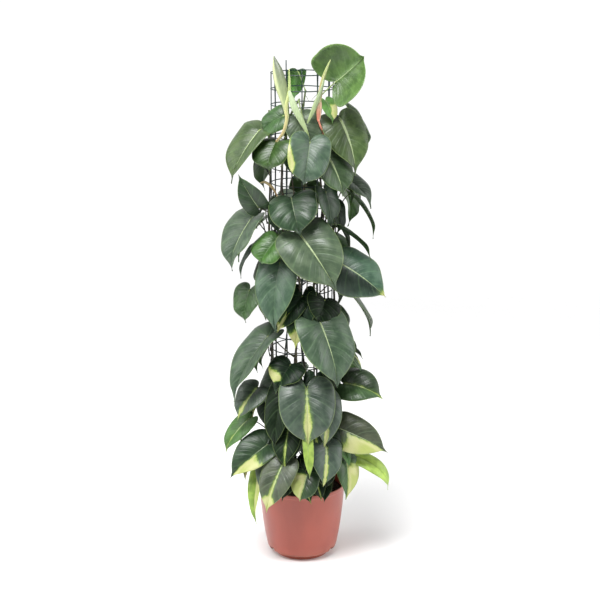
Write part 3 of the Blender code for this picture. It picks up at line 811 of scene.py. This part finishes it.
def petiole_line(base, start, along, normal, drop):
    """The middle of the petiole, from the blade's base to its node on the nearest vine."""
    node_height = base[2] - drop
    headings = [vine_heading(route, node_height) for route in VINES]
    nearest = min(headings, key=lambda heading: abs((heading - base[0] + 180) % 360 - 180))
    if abs(nearest - base[0]) > 180:
        nearest += 360 if base[0] > nearest else -360
    vine_skin = VINE_RADIUS + VINE_THICKNESS / 2 + PETIOLE * PETIOLE_SWELL / 2
    arrive = (along + normal * 0.9).normalized()
    bend = start - arrive * PETIOLE_BEND * MM
    bend_radius = max(hypot(bend.x, bend.y) / MM, vine_skin)
    bend_heading = degrees(atan2(bend.x, -bend.y))
    if abs(bend_heading - base[0]) > 180:
        bend_heading += 360 if base[0] > bend_heading else -360
    arch = vine_skin + PETIOLE_ARCH + 0.15 * max(0, -drop)
    leave = (nearest + (base[0] - nearest) * 0.35, arch, node_height + drop * 0.3)
    keys = ((nearest, vine_skin - 2, node_height), leave, (bend_heading, bend_radius, bend.z / MM), base)
    return [at(*bezier(keys, 1 - step / PETIOLE_STEPS)) for step in range(PETIOLE_STEPS + 1)]


def leaf_finish(name, gloss=0.5):
    """The blade's skin. The mesh carries its tone, its veins and where the lime and cream areas lie."""
    material, tree, shader, patch, grain = new_material(name, 55, 1500)
    tone = add_node(tree, "Attribute", {"attribute_name": "tone"})
    place = add_node(tree, "Attribute", {"attribute_name": "place"})
    veins = add_node(tree, "Attribute", {"attribute_name": "veins"})
    place_u, place_w, place_t = add_node(tree, "SeparateXYZ", Vector=place.outputs["Vector"]).outputs
    phase, marks, blade = add_node(tree, "SeparateXYZ", Vector=veins.outputs["Vector"]).outputs

    def line(value, wide):
        """A mask of thin lines where the value is a whole number."""
        return ramp(tree, maths(tree, "PINGPONG", value, 0.5), wide, 0.0)

    def product(first, second):
        return maths(tree, "MULTIPLY", first, second)

    shade = mix(tree, ramp(tree, patch, 0.32, 0.7), (0.72, 0.76, 0.76), (1.22, 1.18, 1.14))
    base = mix(tree, 1.0, tone.outputs["Color"], shade, "MULTIPLY")
    main_veins = line(phase, 0.11)
    small_veins = line(product(phase, 3.0), 0.2)
    both = maths(tree, "MULTIPLY_ADD", small_veins, 0.3, main_veins)
    colour = mix(tree, product(product(both, blade), 0.16), base, (0.07, 0.13, 0.05), "ADD")
    # streaks along the side veins break up the edges of the lime areas
    way = add_node(tree, "CombineXYZ", X=product(phase, 2.2), Y=product(place_t, 2.4), Z=0.0).outputs[0]
    streak = add_node(tree, "TexNoise", Vector=way, Scale=1.0, Detail=3.0, Roughness=0.6).outputs["Fac"]
    spread = maths(tree, "MULTIPLY_ADD", streak, 0.11, marks)
    halo = ramp(tree, spread, -0.005, 0.08, 0, 0.7)
    area = ramp(tree, spread, 0.041, 0.069)
    cream = ramp(tree, spread, 0.05, 0.1)
    lime = mix(tree, cream, (0.26, 0.35, 0.065), (0.45, 0.46, 0.20))
    lime = mix(tree, ramp(tree, spread, 0.13, 0.2), lime, (0.36, 0.41, 0.12))
    colour = mix(tree, product(halo, blade), colour, (0.09, 0.17, 0.035))
    colour = mix(tree, product(area, blade), colour, lime)
    # the midrib narrows from 1.2 mm at the petiole to almost nothing at the tip
    strength = tone.outputs["Alpha"]
    taper = ramp(tree, place_u, 0.05, 0.95, 0.0012, 0.00015)
    inside = maths(tree, "SUBTRACT", maths(tree, "ABSOLUTE", place_w), product(taper, strength))
    rib = product(ramp(tree, inside, 0.0002, -0.0006), maths(tree, "MINIMUM", strength, 0.9))
    colour = mix(tree, product(rib, blade), colour, (0.34, 0.42, 0.22))
    rim = product(ramp(tree, place_t, 0.965, 0.995, 0, 0.35), blade)
    colour = mix(tree, rim, colour, (0.32, 0.44, 0.14))
    tree.links.new(colour, shader.inputs["Base Color"])
    shader.inputs["Specular IOR Level"].default_value = gloss
    tree.links.new(ramp(tree, patch, 0.3, 0.7, 0.33, 0.45), shader.inputs["Roughness"])
    heights = maths(tree, "MULTIPLY_ADD", product(small_veins, blade), -0.7, product(grain, 0.35))
    bumped(tree, shader, heights, 0.00035)
    return material


green_skin = leaf_finish("leaf_green_finish")
variegated_skin = leaf_finish("leaf_variegated_finish")
# a shaded copy of the leaf skin with little gloss, for the dark leaves: painted shade
shaded_skin = leaf_finish("leaf_shaded_finish", 0.15)


def blade_faces(index, tips):
    """The faces of a blade: its front and back, the edge round its margin and the edge at its sinus."""
    faces = []
    last = len(BLADE_COLUMNS) - 1
    end_row = BLADE_ROWS - 1

    def add_face(*ring):
        ring = list(dict.fromkeys(ring))
        if len(ring) > 2:
            faces.append(ring)

    def add_edge(low, high):
        add_face(index[(1, *low)], index[(1, *high)], index[(-1, *high)], index[(-1, *low)])

    for side in (-1, 1):
        for face in (1, -1):
            for column in range(last):
                for row in range(end_row):
                    add_face(
                        index[face, side, row, column],
                        index[face, side, row, column + 1],
                        index[face, side, row + 1, column + 1],
                        index[face, side, row + 1, column],
                    )
                inner, outer = index[face, side, end_row, column], index[face, side, end_row, column + 1]
                add_face(inner, outer, tips[face])
        for row in range(end_row):
            add_edge((side, row, last), (side, row + 1, last))
        add_face(index[1, side, end_row, last], tips[1], tips[-1], index[-1, side, end_row, last])
        for column in range(last):
            add_edge((side, 0, column), (side, 0, column + 1))
    return faces


def petiole_tube(line):
    """The petiole, with a knuckle under the blade and a wider foot at its node."""
    radii = []
    for step in range(len(line)):
        share = step / (len(line) - 1)
        knuckle = 0.35 * max(0, 1 - abs(share - 0.10) / 0.07)
        foot = 0.75 * max(0, (share - 0.86) / 0.14)
        radii.append((0.7 if step == 0 else PETIOLE / 2 * (0.86 + knuckle + foot)) * MM)
    return tube(line, radii, PETIOLE_SIDES)


def grow_leaf(name, base, tip, width, tone, rib, more, seed, slot=""):
    """One leaf: a closed blade with its relief, and its petiole down to the vine."""
    luck = random.Random(seed)
    marks = {kind: more[kind] for kind in ("stripe", "half", "margin", "end") if kind in more}
    fold = more.get("fold", 8)
    folds = more.get("folds", (fold, fold))
    start = at(*base)
    reach = at(*tip) - start
    length = reach.length
    along = reach.normalized()
    outward = at((base[0] + tip[0]) / 2, 1, 0.35).normalized()
    outward = (outward - along * outward.dot(along)).normalized()
    across = outward.cross(along)
    turn = radians(more.get("roll", 0))
    normal = outward * cos(turn) + across * sin(turn)
    across = normal.cross(along)
    wide = width * MM / MARGIN_WIDTH

    shares = np.linspace(0.012, 0.994, BLADE_ROWS)
    edge = margin(shares, more.get("full", luck.uniform(0.1, 0.4)))
    stem = np.clip((shares - 0.35) / 0.65, 0, 1) ** 1.5
    out = np.array(BLADE_COLUMNS)[None, :]
    # each side vein leaves the midrib steeply and then arches over towards the tip
    way_u = edge[:, :1] - stem[:, None]
    arch = np.where(way_u > 0, 0.13, 0.03) * np.abs(way_u)
    u = stem[:, None] + way_u * out - arch * 4 * out * (1 - out)
    w = edge[:, 1:] * out
    phase = shares[:, None] * SIDE_VEINS + 0 * out
    to_vein = np.abs(phase - np.round(phase))
    between = out * (1 - out) * 4
    puff = PUFF * (width / 100) * np.sin(pi * np.clip(to_vein * 2, 0, 1) / 2) * between
    groove = np.exp(-((w * wide / MM / GROOVE_REACH) ** 2))
    wave_size = more.get("wave", luck.uniform(1.2, 2.8)) * width / 100
    wave_turns = luck.uniform(2.0, 3.2)
    wave_start = luck.uniform(0, 6.3)
    twist = luck.uniform(-0.16, 0.16)
    curl = more.get("curl", luck.uniform(0.02, 0.09))
    dome = more.get("dome", luck.uniform(0.02, 0.04))
    past_middle = np.clip((u - 0.62) / 0.38, 0, 1)
    tuck = radians(more.get("tuck", luck.uniform(10, 30)))
    lobe_droop = np.where(u > 0, 4 * u * (1 - u), 0)
    bow = more.get("bow", 0.07) * length * lobe_droop - curl * length * past_middle**2
    bow += np.where(u < 0, u * (0.28 * cos(tuck) + sin(tuck)) * length, 0)
    blunt = more.get("blunt", 0)
    reach_u = np.where(u < 0, u * cos(tuck), u - blunt * past_middle**2)

    corners = []
    index = {}
    tones = []
    places = []
    vein_data = []
    yellower = luck.uniform(0.86, 1.14)
    skin = Vector(TONES[tone]) * luck.uniform(0.92, 1.2)
    skin = Vector((skin.x * yellower, skin.y, skin.z / yellower))
    back = Vector((skin.x * 1.25 + 0.015, skin.y * 1.3 + 0.028, skin.z * 1.0 + 0.008))
    # each half's factor on its colour: painted shade where it is below 1 and painted light where it is
    # above 1
    shade = more.get("shade", (1, 1))
    cream = marked(marks, u, w)
    for side in (-1, 1):
        cream_side = marked(marks, u, side * w)
        spots = zip(u.ravel(), w.ravel())
        swell = [noise.noise(Vector((5 * p, 5 * side * q, 9.1 * seed))) for p, q in spots]
        swell = 0.012 * wide * np.reshape(swell, u.shape) * between
        ripple = np.sin(shares[:, None] * wave_turns * 2 * pi + wave_start + side)
        ripple = wave_size * ripple * out**2.5 * MM
        lift = radians(folds[(side + 1) // 2])
        cup = w * wide * sin(lift) - 0.06 * wide * (2 * w) ** 3 + side * w * wide * twist * u
        cup += dome * wide * np.sin(pi * np.clip(2 * w, 0, 1))
        middle = bow + cup + ripple + swell + (puff - GROOVE_DEPTH * groove) * MM
        half_thick = (BLADE_THICKNESS / 2 + RIB_THICKNESS * groove * (1.1 - u)) * MM
        half_thick = half_thick * np.where(out >= 1, 0.6, 1)
        for face in (1, -1):
            offset = middle + face * half_thick + (0 if face == 1 else -0.5 * groove * MM)
            for row in range(BLADE_ROWS):
                for column, t in enumerate(BLADE_COLUMNS):
                    if column == 0:
                        key = (face, "rib", round(float(stem[row]), 5))
                    else:
                        key = (face, side, row, column)
                    if key in index:
                        index[face, side, row, column] = index[key]
                        continue
                    here_u = float(u[row, column])
                    here_w = float(w[row, column])
                    place = start + along * (float(reach_u[row, column]) * length)
                    sideways = side * here_w * wide * cos(lift)
                    place += across * sideways + normal * float(offset[row, column])
                    index[key] = index[face, side, row, column] = len(corners)
                    corners.append(place)
                    paint = skin if face == 1 else back
                    fade = 1.0 + 0.18 * (here_u - 0.4) + 0.10 * (t - 0.5)
                    # the half's painted shade (factor below 1) and painted light (above 1): none on the
                    # midrib, less at the margin
                    fade *= 1 + (shade[(side + 1) // 2] - 1) * min(t * 8, 1) * (1 - 0.7 * t**4)
                    tones.append((*(paint * fade), rib))
                    places.append((here_u, side * here_w * wide, t))
                    vein = float(phase[row, 0]) + 10 * seed
                    vein_data.append((vein, float(cream_side[row, column]), 1.0))
    tips = {}
    for face in (1, -1):
        end = start + along * length * (1 - blunt) + normal * (float(bow[-1, 0]) + face * 0.12 * MM)
        tips[face] = len(corners)
        corners.append(end)
        tones.append((*(skin if face == 1 else back), rib))
        places.append((1.0, 0.0, 0.5))
        vein_data.append((0.5 + SIDE_VEINS - 1 + 10 * seed, float(cream[-1, 0]), 1.0))

    faces = blade_faces(index, tips)
    # the petiole's top lies a little way inside the blade, under the start of the midrib
    inside = start + along * (0.07 * length) + normal * (0.02 * length - 1.2 * MM)
    line = [inside, *petiole_line(base, start, along, normal, more.get("drop", 45))]
    stalk_corners, stalk_faces = petiole_tube(line)
    shift = len(corners)
    faces += [[index + shift for index in face] for face in stalk_faces]
    # the high, young stalks are pale
    stalk = PETIOLE_LOW.lerp(PETIOLE_HIGH, min(max((base[2] - 880) / 180, 0), 1))
    joint = stalk.lerp(PETIOLE_JOINT, 0.6)
    for number, corner in enumerate(stalk_corners):
        share = number // PETIOLE_SIDES / (len(line) - 1)
        corners.append(corner)
        tones.append((*joint.lerp(stalk, min(share / 0.3, 1)), 0))
        places.append((0.0, 0.05, 0.5))
        vein_data.append((0.5, -1.0, 0.0))

    variegated = bool(marks) or tone in ("violet", "lime")
    slot = slot or ("leaf_variegated" if variegated else "leaf_green")
    plain_skin = variegated_skin if slot == "leaf_variegated" else green_skin
    # dark leaves take the shaded copy of the skin, which paints shade
    skin_finish = shaded_skin if tone == "dark" else plain_skin
    mesh = closed_mesh(name, [tuple(corner) for corner in corners], faces)
    for label, kind, field, data in (
        ("tone", "FLOAT_COLOR", "color", tones),
        ("place", "FLOAT_VECTOR", "vector", places),
        ("veins", "FLOAT_VECTOR", "vector", vein_data),
    ):
        layer = mesh.attributes.new(label, kind, "POINT")
        layer.data.foreach_set(field, np.array(data, np.float32).ravel())
    leaf = new_object(name, mesh, skin_finish)
    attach(leaf, "root")
    return leaf


framed = [*LEAVES, *map(back_leaf, range(BACK_LEAVES))]
for number, facts in enumerate(framed, 1):
    slot = "leaf_variegated" if 20 <= number <= 32 or number >= 45 else "leaf_green"
    blade = grow_leaf(f"heart_leaf_{number:02d}", *facts, seed=number, slot=slot)
    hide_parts(f"leaf_{number:02d}")
for number, facts in enumerate(SMALL_LEAVES, 1):
    grow_leaf(f"small_leaf_{number:02d}", *facts, seed=100 + number)
for number in range(RIM_LEAVES):
    grow_leaf(f"rim_leaf_{number + 1:02d}", *rim_leaf(number), seed=400 + number)
for number in range(len(SHADE_LEAVES)):
    grow_leaf(f"shade_leaf_{number + 1:02d}", *shade_leaf(number), seed=300 + number)
for number in range(FILLER_LEAVES):
    grow_leaf(f"inner_leaf_{number + 1:02d}", *filler_leaf(number), seed=200 + number)


# --------------------------------------------------------------------------------------------------
# New growth. At the top two of the vines end in a new leaf, still rolled up in a pale spear, beside
# the papery sheaths that protected the last ones: pink and fresh at the bud, tan and dry lower down.
# --------------------------------------------------------------------------------------------------
ROLL_SIDES = 30
ROLL_ROWS = 40
SHEET_THICKNESS = 0.5


def shoot_finish(name, low_colour, high_colour, edge_colour, rough):
    """The skin of a rolled leaf or a sheath: streaked along its length, with a pale outer edge."""
    material, tree, shader, patch, grain = new_material(name, 90, 500, 0.12)
    place = add_node(tree, "Attribute", {"attribute_name": "place"})
    along_it, round_it, _ = add_node(tree, "SeparateXYZ", Vector=place.outputs["Vector"]).outputs
    colour = mix(tree, ramp(tree, along_it, 0.05, 0.95), low_colour, high_colour)
    streak = mix(tree, ramp(tree, grain, 0.3, 0.7), (0.86, 0.86, 0.86), (1.1, 1.1, 1.1))
    streaked = mix(tree, 1.0, colour, streak, "MULTIPLY")
    colour = mix(tree, ramp(tree, round_it, 0.90, 0.96), streaked, edge_colour)
    tree.links.new(colour, shader.inputs["Base Color"])
    tree.links.new(ramp(tree, patch, 0.3, 0.7, rough, rough + 0.12), shader.inputs["Roughness"])
    bumped(tree, shader, grain, 0.0003)
    return material


def add_places(mesh, places):
    """Each corner's place along the piece and round it, which the finish reads."""
    layer = mesh.attributes.new("place", "FLOAT_VECTOR", "POINT")
    layer.data.foreach_set("vector", np.array(places, np.float32).ravel())


def rolled_piece(name, route, widths, turns, finish, flatten=0.62):
    """A thin sheet rolled round itself along a route of (heading, radius, height), with a width at each."""
    corners = []
    places = []
    for step in range(ROLL_ROWS + 1):
        amount = step / ROLL_ROWS
        centre = at(*through(route, amount))
        ahead = at(*through(route, min(amount + 0.02, 1)))
        behind = at(*through(route, max(amount - 0.02, 0)))
        along = (ahead - behind).normalized()
        outward = Vector((centre.x, centre.y, 0)).normalized()
        across = along.cross(outward).normalized()
        outward = across.cross(along)
        half = max(through([(width,) for width in widths], amount)[0], 0.6) / 2 * MM
        for number in range(ROLL_SIDES + 1):
            share = number / ROLL_SIDES
            angle = 2 * pi * turns * share
            size = half * (0.66 + 0.34 * share)
            corners.append(centre + across * cos(angle) * size + outward * sin(angle) * size * flatten)
            places.append((amount, share, 0.0))
    faces = []
    ring = ROLL_SIDES + 1
    for step in range(ROLL_ROWS):
        for number in range(ROLL_SIDES):
            low = step * ring + number
            faces.append((low, low + 1, low + ring + 1, low + ring))
    mesh = bpy.data.meshes.new(name)
    mesh.from_pydata([tuple(corner) for corner in corners], [], faces)
    mesh.shade_smooth()
    add_places(mesh, places)
    piece = new_object(name, mesh, finish)
    skin = piece.modifiers.new("skin", "SOLIDIFY")
    skin.thickness = SHEET_THICKNESS * MM
    skin.offset = 0
    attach(piece, "root")
    return piece


# the colours low down, high up and at the outer edge, and the roughness
spear_skin, stalk_skin, wing_skin, pink_skin, dry_skin = (
    shoot_finish(*facts)
    for facts in (
        ("new_growth_finish", (0.34, 0.42, 0.19), (0.095, 0.115, 0.075), (0.46, 0.52, 0.26), 0.38),
        ("pale_stalk_finish", (0.42, 0.33, 0.16), (0.38, 0.46, 0.17), (0.50, 0.55, 0.28), 0.4),
        ("pale_sheath_finish", (0.28, 0.36, 0.16), (0.34, 0.42, 0.25), (0.52, 0.56, 0.36), 0.4),
        ("sheath_pink_finish", (0.60, 0.20, 0.13), (0.55, 0.44, 0.28), (0.70, 0.48, 0.34), 0.45),
        ("sheath_dry_finish", (0.30, 0.20, 0.09), (0.50, 0.42, 0.22), (0.45, 0.36, 0.18), 0.75),
    )
)

spear_route = ((-21, 88, 1062), (-24, 91, 1100), (-30, 92, 1140), (-37, 90, 1175), (-46, 87, 1208))
spear = rolled_piece("rolled_spear_left", spear_route, (8, 18, 32, 29, 3), 1.35, spear_skin)
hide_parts("rolled_leaf_left")
stalk_route = ((20.3, 107, 1110), (23, 110, 1150), (26, 117, 1178), (29.5, 126, 1204))
stalk = rolled_piece("rolled_spear_right", stalk_route, (11, 10, 8, 2), 1.3, stalk_skin)
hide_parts("rolled_leaf_right")
bud_route = ((20, 105, 1068), (20.5, 105, 1086), (20.5, 106, 1104), (20, 107, 1122))
bud = rolled_piece("pink_bud_sheath", bud_route, (6, 13, 14, 10), 1.2, pink_skin)
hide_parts("bud_sheath")
dry_route = ((-38, 90, 893), (-44, 97, 915), (-52, 105, 926), (-58, 112, 924))
dry = rolled_piece("dry_leaf_sheath", dry_route, (4, 9, 8, 2), 0.7, dry_skin, 0.3)
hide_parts("dry_sheath")

# the bud's short stem thickens down to its node on the vine
stem_keys = ((20, 105, 1072), (23, 105, 1056), (28, 99, 1042), (30, 90, 1030), (26, 80, 1022))
stem_keys = [at(*place) for place in stem_keys]
shares = [step / 16 for step in range(17)]
stem_line = [Vector(through(stem_keys, share)) for share in shares]
stem_mesh = closed_mesh("bud_stem", *tube(stem_line, [(2.1 + 0.5 * share) * MM for share in shares], 10))
add_places(stem_mesh, [(0.2, 0.0, 0.0)] * len(stem_mesh.vertices))
stem = new_object("bud_stem", stem_mesh, pink_skin)
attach(stem, "root")

# scraps of older sheath that still hang beside the two spears
pale_route = ((-33, 107, 1021), (-23, 110, 1042), (-19, 106, 1072), (-21, 100, 1100), (-18, 93, 1135))
pale_route += ((-19, 89, 1182),)
rolled_piece("pale_stalk_left", pale_route, (6, 8, 9, 9, 8, 2), 1.1, stalk_skin)
wing_route = ((9, 114, 1020), (5, 110, 1048), (-2, 107, 1076), (-10, 102, 1104), (-17, 96, 1135))
rolled_piece("pale_sheath_left", wing_route, (4, 9, 17, 20, 8), 0.8, wing_skin, 0.45)
flap_route = ((6, 108, 1064), (11, 110, 1084), (16, 110, 1106), (22, 112, 1136), (25, 116, 1160))
rolled_piece("bud_flap", flap_route, (3, 10, 13, 9, 3), 0.7, wing_skin, 0.4)


# --------------------------------------------------------------------------------------------------
# The studio: a round sheet of matt white paper under the pot, which fades out into a bright even
# sky, and three large soft lamps, one above the front and one at each side. The camera stands well
# back and looks slightly down.
# --------------------------------------------------------------------------------------------------
FLOOR_RADIUS = 3.4
FLOOR_FADE = (1.7, 3.2)
FLOOR_SIDES = 72
SKY_STRENGTH = 0.5
CAMERA_PLACE = (-0.0047, -3.22, 1.44)
CAMERA_TILT = 14.05
CAMERA_LENS = 84.2
SENSOR_WIDTH = 36

paper, tree, shader, patch, grain = new_material("studio_paper", 3, 60)
tree.links.new(mix(tree, patch, (0.93, 0.93, 0.93), (0.96, 0.96, 0.96)), shader.inputs["Base Color"])
shader.inputs["Roughness"].default_value = 0.9
shader.inputs["Specular IOR Level"].default_value = 0.1
place = add_node(tree, "TexCoord").outputs["Object"]
from_middle = add_node(tree, "VectorMath", {"operation": "LENGTH"}, _0=place)
tree.links.new(ramp(tree, from_middle.outputs["Value"], *FLOOR_FADE, 1.0, 0.0), shader.inputs["Alpha"])
points = [at(360 * step / FLOOR_SIDES, FLOOR_RADIUS / MM, -0.4) for step in range(FLOOR_SIDES)]
floor_mesh = bpy.data.meshes.new("studio_floor")
floor_mesh.from_pydata([tuple(point) for point in points], [], [list(reversed(range(FLOOR_SIDES)))])
floor = new_object("studio_floor", floor_mesh, paper)

world = bpy.data.worlds.new("studio_sky")
bpy.context.scene.world = world
world.use_nodes = True
tree = world.node_tree
seen = add_node(tree, "SeparateXYZ", Vector=add_node(tree, "TexCoord").outputs["Generated"]).outputs["Y"]
sky = mix(tree, ramp(tree, seen, -0.9, 0.1), (0.5, 0.5, 0.51), (1, 1, 1))
sky = mix(tree, ramp(tree, seen, 0.2, 0.9), sky, (2, 2, 2))
# the sky lights the plant softly from behind, and the camera sees it plain white
backdrop = mix(tree, add_node(tree, "LightPath").outputs["Is Camera Ray"], sky, (2.1, 2.1, 2.1))
tree.links.new(backdrop, tree.nodes["Background"].inputs["Color"])
tree.nodes["Background"].inputs["Strength"].default_value = SKY_STRENGTH


def soft_lamp(name, place, target, size, watts):
    """A round area lamp that faces its target."""
    lamp = bpy.data.lights.new(name, "AREA")
    lamp.shape = "DISK"
    lamp.size = size
    lamp.energy = watts
    holder = bpy.data.objects.new(name, lamp)
    holder.location = place
    holder.rotation_euler = (Vector(target) - Vector(place)).to_track_quat("-Z", "Y").to_euler()
    bpy.context.scene.collection.objects.link(holder)


soft_lamp("top_lamp", (-0.7, -1.5, 3.4), (0, 0, 0.5), 1.9, 165)
soft_lamp("left_lamp", (-3.0, -0.8, 1.8), (0, 0, 0.6), 2.2, 48)
soft_lamp("right_lamp", (3.0, -0.6, 1.5), (0, 0, 0.6), 2.2, 48)

lens = bpy.data.cameras.new("camera")
lens.lens = CAMERA_LENS
lens.sensor_width = SENSOR_WIDTH
camera = bpy.data.objects.new("camera", lens)
camera.location = CAMERA_PLACE
camera.rotation_euler = (radians(90 - CAMERA_TILT), 0, 0)
bpy.context.scene.collection.objects.link(camera)
bpy.context.scene.camera = camera
bpy.context.scene.view_settings.view_transform = "Standard"
